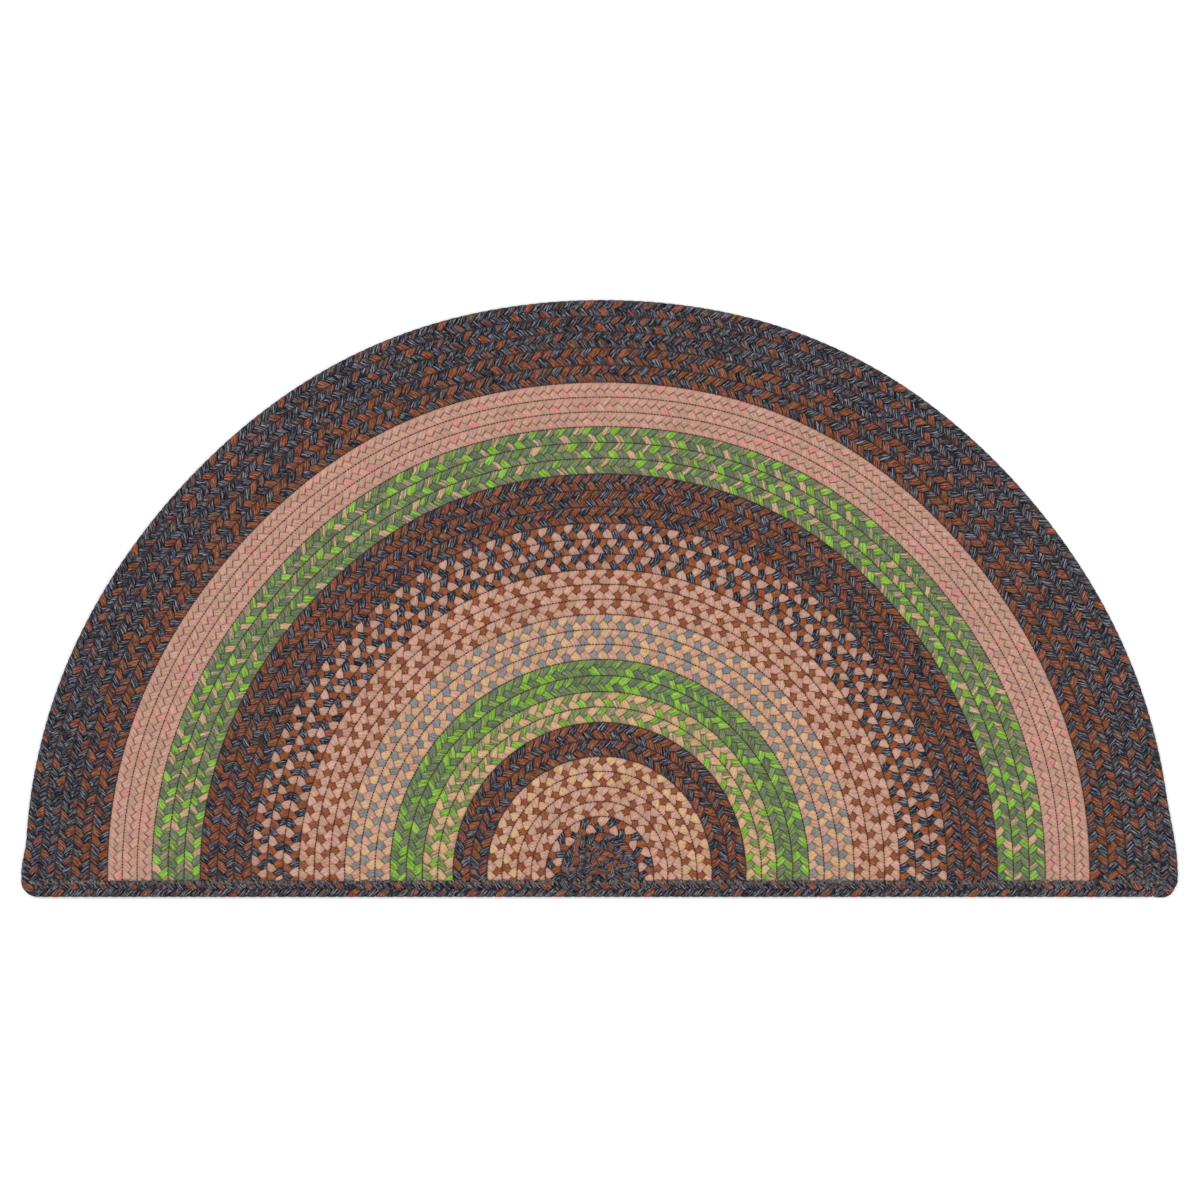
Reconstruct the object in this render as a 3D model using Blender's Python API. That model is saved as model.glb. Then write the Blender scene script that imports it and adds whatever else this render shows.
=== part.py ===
"""Half-round braided rug, lying flat.

Rows of flat three-strand braid lie side by side in half rings and are laced together.
The rings are cut along a straight line, and the outermost braid turns the left corner
and runs along that cut, back to its own start at the right corner.

Metres, +Z up. The origin is the middle of the rug's outline, on the surface it lies on.
+X runs along the straight edge and +Y points from it to the crown of the arc.
"""

import math

import bmesh
import bpy

# The whole rug
RUG_WIDTH = 1.220
THICKNESS = 0.0080
GAP = 0.0003

# The half rings' common centre
CENTRE_ABOVE_EDGE = 0.0249
EDGE_BRAID_WIDTH = 0.0158

# The hand-laid rings stray from true circles: waves to a full turn, and their height. The inner
# rings' waves pass over into the outer rings', and fade out towards the middle
INNER_WAVES = (
    (1, 0.0006),
    (2, -0.0023),
    (3, -0.0006),
)
OUTER_WAVES = (
    (2, -0.0011),
    (3, -0.0010),
    (4, 0.0015),
    (6, 0.0012),
    (8, -0.0008),
)
INNER_WAVES_FULL_AT = 0.100
INNER_WAVES_UP_TO = 0.240
OUTER_WAVES_FROM = 0.500

# The outermost rows spread at their feet, from this radius outwards: how far the arc's own right
# foot moves out, and from how high above the rings' centre each foot starts to
SPREAD_FROM_RADIUS = 0.518
RIGHT_SPREAD = 0.0062
RIGHT_SPREAD_FROM = 0.086
LEFT_SPREAD_FROM = 0.036

# The corners where the outermost braid turns and where it starts
CORNER_INNER_RADIUS = 0.0002
START_CURL = 0.0085
START_BELOW_EDGE = 0.0012

# How finely the solids follow the curves
ARC_STEPS = 28
CORNER_STEPS = 5
EDGE_STEPS = 8
HEART_STEPS = 4
HEART_TURN = math.radians(70)
SHARP_ANGLE = math.radians(50)

# One line for each band of like rows, from the arc inwards:
# name, number of rows, width of a row in metres, material
BANDS = (
    ("slate_rust", 3, 0.0167, "slate"),
    ("rust_slate", 2, 0.0183, "rust_slate"),
    ("pink", 3, 0.0156, "pink"),
    ("sage", 3, 0.0167, "sage"),
    ("rust_slate", 3, 0.0175, "rust_slate"),
    ("slate_rust_pink", 3, 0.0164, "brown_pink"),
    ("pink_rust", 3, 0.0159, "pink_rust"),
    ("grey_tan", 3, 0.0159, "grey_tan"),
    ("green", 2, 0.0170, "green"),
    ("tan_green", 2, 0.0162, "tan_green"),
    ("rust_slate", 2, 0.0180, "rust_slate"),
    ("tan_rust", 2, 0.0158, "pink_rust"),
    ("pink_rust", 2, 0.0154, "pink_rust"),
    ("slate_rust_pink", 1, 0.0165, "brown_pink"),
    ("slate_core", 2, 0.0173, "slate"),
)

# Name, linear colour, roughness: the mean colour of each kind of row, all of them dull yarn
YARNS = (
    ("slate", (0.098, 0.079, 0.084), 0.95),
    ("rust_slate", (0.115, 0.068, 0.062), 0.95),
    ("pink", (0.465, 0.261, 0.203), 0.92),
    ("sage", (0.198, 0.224, 0.104), 0.93),
    ("brown_pink", (0.223, 0.126, 0.099), 0.93),
    ("pink_rust", (0.395, 0.208, 0.142), 0.92),
    ("grey_tan", (0.412, 0.272, 0.192), 0.92),
    ("green", (0.180, 0.246, 0.090), 0.93),
    ("tan_green", (0.324, 0.286, 0.125), 0.93),
)

# A row's cross-section, from its underside round to its top:
# place across the row from 0, its inner side, to 1, its outer side, and share of the thickness
ROW_SECTION = (
    (0.10, 0.0),
    (0.90, 0.0),
    (1.00, 0.45),
    (0.78, 1.0),
    (0.22, 1.0),
    (0.00, 0.45),
)

# The rounded start of the outermost braid, from its tip up:
# place from 0, the tip, to 1, the cut line, how much narrower each side is, share of the thickness
RIM_START = (
    (0.00, 0.0030, 0.55),
    (0.16, 0.0015, 0.90),
    (0.50, 0.0000, 1.00),
)


def wave_sum(waves, turn):
    return sum(height * math.cos(count * turn) for count, height in waves)


# The worked-out lines that the rows are set against
MEAN_RADIUS = RUG_WIDTH / 2 - RIGHT_SPREAD - wave_sum(OUTER_WAVES, 0.0)
LEFT_SPREAD = RUG_WIDTH / 2 - MEAN_RADIUS - wave_sum(OUTER_WAVES, math.pi)
CROWN_RADIUS = MEAN_RADIUS + wave_sum(OUTER_WAVES, math.pi / 2)
RUG_DEPTH = START_BELOW_EDGE + CENTRE_ABOVE_EDGE + CROWN_RADIUS
TIP_Y = -RUG_DEPTH / 2
STRAIGHT_EDGE_Y = TIP_Y + START_BELOW_EDGE
CENTRE_Y = STRAIGHT_EDGE_Y + CENTRE_ABOVE_EDGE
CUT_Y = STRAIGHT_EDGE_Y + EDGE_BRAID_WIDTH


def smooth_step(low, high, value):
    """From 0 at low to 1 at high, level at both ends."""
    share = min(max((value - low) / (high - low), 0.0), 1.0)
    return share * share * (3.0 - 2.0 * share)


def ring_point(radius, turn):
    """A point on the line between two rows, turn radians round from the right-hand base."""
    outer_share = smooth_step(INNER_WAVES_UP_TO, OUTER_WAVES_FROM, radius)
    inner_share = (1.0 - outer_share) * smooth_step(0.0, INNER_WAVES_FULL_AT, radius)
    reach = radius + inner_share * wave_sum(INNER_WAVES, turn) + outer_share * wave_sum(OUTER_WAVES, turn)
    x = reach * math.cos(turn)
    y = reach * math.sin(turn)
    spread_share = max(radius - SPREAD_FROM_RADIUS, 0.0) / (MEAN_RADIUS - SPREAD_FROM_RADIUS)
    if x > 0.0:
        x += spread_share * RIGHT_SPREAD * smooth_step(RIGHT_SPREAD_FROM, 0.0, y)
    else:
        x -= spread_share * LEFT_SPREAD * smooth_step(LEFT_SPREAD_FROM, 0.0, y)
    return x, y + CENTRE_Y


def ring_line(radius, foot_y):
    """The line between two rows, from its right foot over the crown to its left foot."""
    arc = [ring_point(radius, math.pi * step / ARC_STEPS) for step in range(ARC_STEPS + 1)]
    right_foot = (arc[0][0], foot_y)
    left_foot = (arc[-1][0], foot_y)
    return [right_foot] + arc + [left_foot]


def section_across(inner, outer, height):
    """A row's cross-section between a point on its inner line and one on its outer line."""
    span_x = outer[0] - inner[0]
    span_y = outer[1] - inner[1]
    trim = GAP / 2 / math.hypot(span_x, span_y)
    points = []
    for across, up in ROW_SECTION:
        share = trim + across * (1.0 - 2.0 * trim)
        points.append((inner[0] + share * span_x, inner[1] + share * span_y, up * height))
    return points


def loft(name, sections, material, collection):
    """One closed solid through cross-sections that have the same number of points."""
    mesh_data = bpy.data.meshes.new(name)
    mesh = bmesh.new()
    rings = [[mesh.verts.new(point) for point in section] for section in sections]
    count = len(sections[0])
    for ring, following in zip(rings, rings[1:]):
        for index in range(count):
            after = (index + 1) % count
            mesh.faces.new((ring[index], ring[after], following[after], following[index]))
    mesh.faces.new(list(reversed(rings[0])))
    mesh.faces.new(rings[-1])
    bmesh.ops.recalc_face_normals(mesh, faces=mesh.faces)
    mesh.to_mesh(mesh_data)
    mesh.free()
    mesh_data.shade_smooth()
    mesh_data.set_sharp_from_angle(angle=SHARP_ANGLE)
    mesh_data.materials.append(material)
    solid = bpy.data.objects.new(name, mesh_data)
    collection.objects.link(solid)
    return solid


def make_yarn(name, colour, roughness):
    """A plain dull material in one kind of row's mean colour."""
    material = bpy.data.materials.new(name)
    material.use_nodes = True
    shader = material.node_tree.nodes["Principled BSDF"]
    shader.inputs["Base Color"].default_value = (*colour, 1.0)
    shader.inputs["Roughness"].default_value = roughness
    shader.inputs["Metallic"].default_value = 0.0
    return material


def list_rows():
    """Each row's band name, inner radius, outer radius and material, from the arc inwards."""
    rows = []
    outer = MEAN_RADIUS
    for band, count, width, yarn in BANDS:
        for _ in range(count):
            rows.append((band, outer - width, outer, yarn))
            outer -= width
    return rows


def make_row(name, inner_radius, outer_radius, material, collection):
    """A half ring of braid, cut off along the line where the edge braid is sewn on."""
    foot_y = CUT_Y + GAP / 2
    inner_line = ring_line(inner_radius, foot_y)
    outer_line = ring_line(outer_radius, foot_y)
    sections = [section_across(a, b, THICKNESS) for a, b in zip(inner_line, outer_line)]
    return loft(name, sections, material, collection)


def start_of_rim(inner_foot_x, outer_foot_x):
    """Pairs of inner and outer points up the rim's right end, which curls in under the corner."""
    pairs = []
    for place, narrowing, height in RIM_START:
        curl = START_CURL * (1.0 - place)
        y = TIP_Y + place * (CUT_Y - TIP_Y)
        inner = (inner_foot_x - curl + narrowing, y)
        outer = (outer_foot_x - curl - narrowing, y)
        pairs.append((inner, outer, height))
    return pairs


def corner_of_rim(inner_foot_x, outer_foot_x):
    """Pairs of inner and outer points round the left corner, from the side to the straight edge."""
    centre_x = inner_foot_x + CORNER_INNER_RADIUS
    centre_y = CUT_Y + CORNER_INNER_RADIUS
    outer_down = centre_y - STRAIGHT_EDGE_Y
    outer_across = centre_x - outer_foot_x
    pairs = []
    for step in range(CORNER_STEPS + 1):
        turn = math.pi / 2 * step / CORNER_STEPS
        across = math.cos(turn)
        down = math.sin(turn)
        inner = (centre_x - CORNER_INNER_RADIUS * across, centre_y - CORNER_INNER_RADIUS * down)
        outer = (centre_x - outer_across * across, centre_y - outer_down * down)
        pairs.append((inner, outer, 1.0))
    return pairs


def make_rim(inner_radius, outer_radius, material, collection):
    """The outermost braid: up from the right corner, over the arc, round the left corner and back."""
    inner_arc = ring_line(inner_radius, CUT_Y)[:-1]
    outer_arc = ring_line(outer_radius, CUT_Y)[:-1]
    pairs = start_of_rim(inner_arc[0][0], outer_arc[0][0])
    pairs += [(inner, outer, 1.0) for inner, outer in zip(inner_arc, outer_arc)]
    pairs += corner_of_rim(inner_arc[-1][0], outer_arc[-1][0])
    edge_start_x = pairs[-1][0][0]
    end_top_x = inner_arc[0][0] - GAP
    end_bottom_x = end_top_x - START_CURL
    for step in range(1, EDGE_STEPS + 1):
        share = step / EDGE_STEPS
        inner = (edge_start_x + share * (end_top_x - edge_start_x), CUT_Y)
        outer = (edge_start_x + share * (end_bottom_x - edge_start_x), STRAIGHT_EDGE_Y)
        pairs.append((inner, outer, 1.0))
    sections = [section_across(inner, outer, THICKNESS * height) for inner, outer, height in pairs]
    return loft("braid_01_rim", sections, material, collection)


def make_heart(radius, material, collection):
    """The folded start of the braid, a stub that fills the middle of the innermost half ring."""
    foot_y = CUT_Y + GAP / 2
    sections = []
    for step in range(HEART_STEPS + 1):
        turn = HEART_TURN * step / HEART_STEPS
        half = radius * math.cos(turn)
        y = foot_y if step == 0 else CENTRE_Y + radius * math.sin(turn)
        left = (-half, y)
        right = (half, y)
        sections.append(section_across(left, right, THICKNESS))
    return loft("braid_37_heart", sections, material, collection)


def clear_scene():
    for leftover in list(bpy.data.objects):
        bpy.data.objects.remove(leftover, do_unlink=True)


def build_rug():
    clear_scene()
    parts = bpy.data.collections.new("braided_rug")
    bpy.context.scene.collection.children.link(parts)
    yarns = {name: make_yarn(name, colour, roughness) for name, colour, roughness in YARNS}
    rows = list_rows()
    _, inner_radius, outer_radius, yarn = rows[0]
    make_rim(inner_radius, outer_radius, yarns[yarn], parts)
    for number, (band, inner_radius, outer_radius, yarn) in enumerate(rows[1:], start=2):
        make_row(f"braid_{number:02d}_{band}", inner_radius, outer_radius, yarns[yarn], parts)
    make_heart(rows[-1][1], yarns["slate"], parts)


build_rug()
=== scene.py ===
"""Half-round braided rug, lying flat: how it looks.

Each row of the rug is one strip of flat three-strand braid, seen as two columns of slanted lobes
whose chevrons point the way the braid was laid: up from the right-hand base, over the arc and down
to the left-hand base. A strip stands for the plain solid of the same row. The dark lacing thread
shows as stitches in the grooves between the rows. Loose strands and yarn ends lie where the rows
are cut, in the middle and at the right-hand corner.

Metres, +Z up. The origin is the middle of the rug's outline, on the surface it lies on.
+X runs along the straight edge and +Y points from it to the crown of the arc.
"""

import math
from collections import namedtuple

import bpy
import numpy as np
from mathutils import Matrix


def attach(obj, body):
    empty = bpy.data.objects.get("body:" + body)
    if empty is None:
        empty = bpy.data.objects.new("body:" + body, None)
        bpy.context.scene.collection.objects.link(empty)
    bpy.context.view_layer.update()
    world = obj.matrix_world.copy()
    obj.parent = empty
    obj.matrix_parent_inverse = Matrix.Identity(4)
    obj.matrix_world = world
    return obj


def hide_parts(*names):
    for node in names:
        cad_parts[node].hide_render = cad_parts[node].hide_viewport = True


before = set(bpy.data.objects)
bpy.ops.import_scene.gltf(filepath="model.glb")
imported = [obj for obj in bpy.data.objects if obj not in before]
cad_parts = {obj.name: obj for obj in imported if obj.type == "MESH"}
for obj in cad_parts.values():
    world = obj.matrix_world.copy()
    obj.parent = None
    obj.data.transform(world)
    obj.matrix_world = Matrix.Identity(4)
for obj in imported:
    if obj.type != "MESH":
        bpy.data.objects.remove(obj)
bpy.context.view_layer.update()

# The whole rug, as in the part
RUG_WIDTH = 1.22
THICKNESS = 0.008
GAP = 0.0003
CENTRE_ABOVE_EDGE = 0.0249
EDGE_BRAID_WIDTH = 0.0158
INNER_WAVES = ((1, 0.0006), (2, -0.0023), (3, -0.0006))
OUTER_WAVES = ((2, -0.0011), (3, -0.001), (4, 0.0015), (6, 0.0012), (8, -0.0008))
INNER_WAVES_FULL_AT = 0.1
INNER_WAVES_UP_TO = 0.24
OUTER_WAVES_FROM = 0.5
SPREAD_FROM_RADIUS = 0.518
RIGHT_SPREAD = 0.0062
RIGHT_SPREAD_FROM = 0.086
LEFT_SPREAD_FROM = 0.036
CORNER_INNER_RADIUS = 0.0002
START_CURL = 0.0085
START_BELOW_EDGE = 0.0012
HEART_TURN = math.radians(70)
# The rim's start, from its tip, 0, to the line where the rows are cut, 1: how far its inner and
# outer side lie inwards of the arc's, and its share of the height
RIM_START = (
    (0.0, 0.0034, 0.014, 0.4),
    (0.05, 0.0078, 0.0112, 0.66),
    (0.12, 0.0082, 0.0092, 0.84),
    (0.26, 0.0066, 0.0066, 0.95),
    (0.55, 0.0038, 0.0034, 1.0),
    (0.81, 0.0015, 0.0013, 1.0),
    (1.0, 0.0, 0.0, 1.0),
)


def wave_sum(waves, turns):
    """How far waves in a full turn, each with its height, carry a ring out at the given turns."""
    return sum(height * np.cos(count * turns) for count, height in waves)


MEAN_RADIUS = RUG_WIDTH / 2 - RIGHT_SPREAD - wave_sum(OUTER_WAVES, 0.0)
LEFT_SPREAD = RUG_WIDTH / 2 - MEAN_RADIUS - wave_sum(OUTER_WAVES, math.pi)
CROWN_RADIUS = MEAN_RADIUS + wave_sum(OUTER_WAVES, math.pi / 2)
RUG_DEPTH = START_BELOW_EDGE + CENTRE_ABOVE_EDGE + CROWN_RADIUS
TIP_Y = -RUG_DEPTH / 2
STRAIGHT_EDGE_Y = TIP_Y + START_BELOW_EDGE
CENTRE_Y = STRAIGHT_EDGE_Y + CENTRE_ABOVE_EDGE
CUT_Y = STRAIGHT_EDGE_Y + EDGE_BRAID_WIDTH

# Lines between the rows: the step from point to point and the fewest points to an arc, then the
# points of the rim's start, of its turn at the left corner and of the heart's top
LINE_STEP = 0.0015
LEAST_ARC_POINTS = 24
RIM_START_POINTS = 24
CORNER_POINTS = 25
HEART_POINTS = 12
# The slant at the edge braid's end spreads over this many times START_CURL
END_SLANT_SPREAD = 3

# Bands of like rows, from the arc inwards. Pitch: a lobe's length along the row. Slant: how far it
# slants. Swing: how far the seam swings. Strands, fullness: the three strands' yarns in the order
# they show in the outer column, and how full each is. Slot: the record's material slot
Band = namedtuple("Band", "name rows width pitch slant swing strands fullness slot")
BANDS = (
    Band("slate_rust", 3, 0.0167, 0.0104, 0.0048, 0.0018,
         ("slate", "slate", "dull_rust"), (0.1, 0.1, 0.45), "slate"),
    Band("rust_slate", 2, 0.0183, 0.0101, 0.0052, 0.0018,
         ("rust_mix", "brown_rust", "slate"), (0.0, 0.1, 0.5), "rust_slate"),
    Band("pink", 3, 0.0156, 0.0098, 0.0034, 0.002,
         ("pink", "pink", "rose"), (0.5, 0.5, 0.6), "pink"),
    Band("sage", 3, 0.0167, 0.0097, 0.0046, 0.0018,
         ("green", "tan_sage", "sage"), (0.2, -0.3, 0.5), "sage"),
    Band("rust_slate", 3, 0.0175, 0.0095, 0.005, 0.0018,
         ("rust_mix", "brown_rust", "slate"), (0.0, 0.2, 0.4), "rust_slate"),
    Band("slate_rust_pink", 3, 0.0164, 0.0091, 0.0024, 0.0021,
         ("dusky_pink", "rust", "slate"), (0.5, -0.3, 0.4), "brown_pink"),
    Band("pink_rust", 3, 0.0159, 0.0096, 0.0018, 0.0022,
         ("light_pink", "light_pink", "rust"), (0.7, 0.7, -0.8), "pink_rust"),
    Band("grey_tan", 3, 0.0159, 0.0095, 0.0022, 0.0021,
         ("light_pink", "yellow_tan", "grey"), (0.4, 0.6, -0.2), "grey_tan"),
    Band("green", 2, 0.017, 0.0096, 0.0048, 0.0018,
         ("sage_green", "sage", "green"), (-0.1, 0.4, 0.3), "green"),
    Band("tan_green", 2, 0.0162, 0.0094, 0.0036, 0.0019,
         ("tan_sage", "green_sage", "tan"), (-0.2, 0.0, 0.7), "tan_green"),
    Band("rust_slate", 2, 0.018, 0.0098, 0.005, 0.0018,
         ("rust_mix", "brown_rust", "slate"), (0.1, 0.3, 0.2), "rust_slate"),
    Band("tan_rust", 2, 0.0158, 0.0091, 0.0018, 0.0022,
         ("light_pink", "yellow_tan", "rust"), (0.6, 0.8, -0.7), "pink_rust"),
    Band("pink_rust", 2, 0.0154, 0.0096, 0.0018, 0.0022,
         ("light_pink", "light_pink", "rust"), (0.7, 0.7, -0.8), "pink_rust"),
    Band("slate_rust_pink", 1, 0.0165, 0.0092, 0.0024, 0.0021,
         ("light_pink", "rust", "slate"), (0.6, -0.5, 0.4), "brown_pink"),
    Band("slate_core", 2, 0.0173, 0.0086, 0.0046, 0.0018,
         ("slate", "core_rust", "slate"), (0.1, 0.4, 0.0), "slate"),
)
# The heart is braided like the rows round it, with shorter lobes
HEART_BAND = BANDS[-1]._replace(pitch=0.008, slant=0.004, swing=0.0016)

# Yarns. Colours: a row of them as they show, each with its share of the row. A lobe draws its place
# in the row, and its plies stray from there. Light: the colour of light fibres and of the painted
# highlight on a ply's crest. Gap: the colour of the painted shade in the gaps and between plies, and
# of dark fibres. Plies: how many show in a lobe. Lights, darks: how strongly the streaks show, partly
# painted highlight on the plies' crests and painted shade between them. Mottle: how strongly the
# mottling shows. Beside, tip, edge: how light the painted shade is in the gap beside a lobe, under
# its tip and at the row's edge
Yarn = namedtuple("Yarn", "colours light gap plies lights darks mottle beside tip edge")
YARNS = {
    "slate": Yarn(
        ((0.25, (57, 54, 65)), (0.3, (34, 36, 44)), (0.25, (50, 53, 65)), (0.2, (47, 51, 56))),
        (184, 181, 189), (5, 5, 8), 4, 0.5, 0.82, 0.8, 0.1, 0.14, 0.28),
    "rust": Yarn(
        ((0.4, (138, 77, 46)), (0.35, (146, 85, 52)), (0.25, (136, 79, 60))),
        (176, 130, 106), (48, 20, 12), 4, 0.16, 0.42, 0.7, 0.34, 0.36, 0.52),
    "brown_rust": Yarn(
        ((0.35, (122, 70, 48)), (0.35, (134, 78, 51)), (0.3, (121, 72, 62))),
        (174, 132, 114), (14, 9, 8), 4, 0.22, 0.66, 1.0, 0.17, 0.21, 0.38),
    "dull_rust": Yarn(
        ((0.28, (134, 75, 50)), (0.18, (121, 70, 58)), (0.26, (92, 72, 69)), (0.28, (53, 53, 62))),
        (170, 136, 124), (9, 8, 10), 4, 0.3, 0.8, 1.1, 0.15, 0.19, 0.34),
    "rust_mix": Yarn(
        ((0.34, (122, 71, 48)), (0.2, (112, 67, 57)), (0.2, (90, 70, 67)), (0.26, (53, 54, 63))),
        (168, 136, 124), (9, 8, 9), 4, 0.3, 0.8, 1.1, 0.15, 0.19, 0.34),
    "fuzz": Yarn(
        ((0.35, (92, 88, 92)), (0.3, (74, 73, 80)), (0.35, (124, 108, 97))),
        (190, 182, 180), (28, 24, 25), 3, 0.36, 0.45, 0.8, 0.4, 0.44, 0.55),
    "worn_rust": Yarn(
        ((0.45, (131, 75, 49)), (0.35, (120, 71, 54)), (0.2, (108, 76, 66))),
        (164, 124, 106), (14, 9, 9), 4, 0.22, 0.48, 1.0, 0.22, 0.26, 0.44),
    "core_rust": Yarn(
        ((0.58, (143, 81, 51)), (0.22, (60, 61, 70)), (0.2, (114, 85, 77))),
        (168, 136, 122), (12, 9, 10), 4, 0.24, 0.54, 0.9, 0.2, 0.24, 0.42),
    "pink": Yarn(
        ((0.35, (185, 145, 125)), (0.4, (190, 150, 133)), (0.25, (195, 150, 134))),
        (208, 170, 154), (74, 30, 24), 3, 0.2, 0.2, 0.5, 0.84, 0.24, 0.78),
    "rose": Yarn(
        ((0.62, (188, 147, 129)), (0.24, (198, 144, 132)), (0.14, (206, 136, 130))),
        (208, 164, 152), (74, 30, 24), 3, 0.2, 0.2, 0.5, 0.84, 0.24, 0.78),
    "light_pink": Yarn(
        ((0.3, (186, 143, 122)), (0.4, (193, 150, 130)), (0.3, (198, 155, 137))),
        (212, 176, 156), (98, 48, 34), 3, 0.2, 0.2, 0.55, 0.62, 0.44, 0.8),
    # A darker copy of light_pink: painted shade for light pink lobes that lie in shade between slate and
    # rust
    "dusky_pink": Yarn(
        ((0.3, (178, 140, 123)), (0.4, (184, 146, 129)), (0.3, (190, 151, 135))),
        (208, 172, 153), (90, 44, 32), 3, 0.2, 0.2, 0.55, 0.58, 0.4, 0.76),
    "sage": Yarn(
        ((0.4, (96, 110, 85)), (0.35, (104, 118, 93)), (0.25, (113, 120, 98))),
        (148, 152, 126), (26, 38, 20), 4, 0.25, 0.35, 0.85, 0.5, 0.38, 0.52),
    "green": Yarn(
        ((0.18, (142, 188, 80)), (0.4, (127, 173, 64)), (0.42, (107, 126, 84))),
        (168, 204, 104), (38, 62, 18), 3, 0.3, 0.45, 0.7, 0.52, 0.4, 0.54),
    "sage_green": Yarn(
        ((0.55, (113, 128, 89)), (0.15, (123, 154, 76)), (0.3, (133, 177, 70))),
        (160, 188, 104), (34, 50, 20), 3, 0.3, 0.45, 0.7, 0.52, 0.4, 0.54),
    "green_sage": Yarn(
        ((0.44, (132, 174, 67)), (0.56, (122, 138, 87))),
        (164, 196, 104), (40, 56, 22), 3, 0.3, 0.42, 0.7, 0.54, 0.42, 0.56),
    "tan_sage": Yarn(
        ((0.34, (198, 163, 128)), (0.52, (112, 122, 91)), (0.16, (162, 142, 110))),
        (212, 186, 154), (46, 48, 24), 4, 0.28, 0.42, 0.7, 0.56, 0.4, 0.58),
    "tan": Yarn(
        ((0.4, (195, 160, 120)), (0.6, (201, 166, 128))),
        (216, 188, 154), (98, 58, 32), 3, 0.2, 0.2, 0.5, 0.62, 0.44, 0.8),
    "yellow_tan": Yarn(
        ((0.4, (198, 160, 122)), (0.6, (205, 167, 130))),
        (218, 187, 152), (98, 58, 36), 3, 0.2, 0.2, 0.5, 0.62, 0.44, 0.8),
    "grey": Yarn(
        ((0.4, (129, 128, 124)), (0.6, (137, 132, 131))),
        (160, 158, 154), (56, 48, 40), 3, 0.28, 0.26, 0.7, 0.54, 0.4, 0.64),
}

# Braid mesh. Stations to a lobe along the row, an even number
STATIONS = 6
# Half of the strip's cross-section: place from the seam, 0, to the edge, 1, and the share there of
# the thickness, of the dip between two lobes and of a full strand's push along the row
TOP_PROFILE = (
    (0.0, 0.8, 0.2, -0.5),
    (0.16, 0.94, 0.8, 0.25),
    (0.4, 1.0, 1.0, 1.0),
    (0.68, 0.99, 1.0, 0.85),
    (0.9, 0.9, 0.85, 0.05),
    (1.0, 0.74, 0.0, -0.45),
)
UNDER_PROFILE = (
    (0.76, 0.03, 0.9, 0.0),
    (0.0, 0.12, 0.3, 0.0),
)
# The same for the rim, whose outer side shows
RIM_TOP_PROFILE = TOP_PROFILE[:-2] + (
    (0.9, 0.89, 0.85, 0.05),
    (1.0, 0.66, 0.0, -0.45),
)
RIM_UNDER_PROFILE = ((0.97, 0.25, 0.4, 0.0),) + UNDER_PROFILE
# The rim's open side: its yarn's reach round the strand, short of the painted shade at a row's edge,
# how much less high up, bulge and notches
OPEN_SIDE_REACH = 0.96
OPEN_SIDE_LESS = 0.1
RIM_BULGE = 0.0004
SCALLOP = 0.0005
# The gap between two lobes, a thin strand's sinking, a full one's push along the row and over the seam
DIP = 0.0014
SINK = 0.0004
PUFF = 0.0011
TIP_PUFF = 0.3
# The seam's slow wander: its height, its length, and the range of its start
WANDER = 0.0003
WANDER_LENGTH = 0.031
WANDER_START = (0, 6.3)
# How far lobes stray along the row, in pitches, in most rows and in the middle, and up and down
LOBE_SCATTER = 0.055
CORE_SCATTER = 0.1
CREST_SCATTER = 0.00018
# A cut end: what is left of the lobes' reach past it, its rounding, its edge's height, and how far
# in from it the painted shade reaches
SQUEEZE = 0.03
END_ROUNDING = 0.003
END_HEIGHT = 0.62
CUT_SHADE_REACH = 0.0016
SHARP_FROM = math.radians(48)
# The range of a lobe's own number, and a closed end's number
SEED_RANGE = (0.01, 0.99)
CAP_SEED = 0.5

# The light is this much stronger than shows a colour as it is, so the pale floor shows white
BRIGHTNESS = 1.14

# Yarn material. Its plies: their slant beside the lobe's sides, how far and how often they wave,
# how round they are, and how far a ply's colour strays from its lobe's, 0 to 1
PLY_LEAN = 0.2
PLY_WAVE = 0.2
PLY_WAVES = 2.2
PLY_ROUNDNESS = 2.2
PLY_STRAY = 0.7
# Numbers that keep lobes, chances and noises apart
LOBE_APART = 83.0
COLOUR_CHANCE = 8.1
TONE_CHANCE = 3.7
DARK_NOISE = 17.3
HUE_NOISE = 5.5
# How often each noise changes across the yarn and along it
RUN_SCALE = (3.7, 0.8)
FLECK_SCALE = (2.2, 2.2)
FIBRE_SCALE = (36.0, 12.0)
FIBRE_DETAIL = 2.0
HUE_SCALE = (1.3, 2.6)
# Streaks, partly painted highlight on a ply's crest and painted shade beside it: where light ones end
# and dark ones begin across a ply, and where they come up along it
CREST_ENDS = (0.05, 0.45)
SIDE_BEGINS = (0.4, 0.9)
LIGHT_RUNS = (0.44, 0.62)
DARK_RUNS = (0.36, 0.54, 0.35, 1.0)
# Flecks, tones of fibres and of whole lobes, and how far a mottled yarn's hue strays
LIGHT_FLECKS = (0.5, 0.75)
DARK_FLECKS = (0.5, 0.25)
FLECK_SHARE = 0.5
FIBRE_TONES = (0.25, 0.75, 0.84, 1.16)
LOBE_TONES = (0.0, 1.0, 0.93, 1.07)
HUE_STRAY = 1.2
# How far the painted shade of each gap reaches, the flank of a lobe's tip where that shade is
# painted deeper, and the painted shade towards the cut ends
BESIDE_GAP = (0.0, 0.11)
TIP_GAP = (0.02, 0.15)
EDGE_GAP = (0.0, 0.09)
DEEP_FLANK = (0.4, 0.6)
RAGGED = 1.6
CUT_END_SHADE = (0.3, 0.9, 1.0, 0.65)
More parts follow.
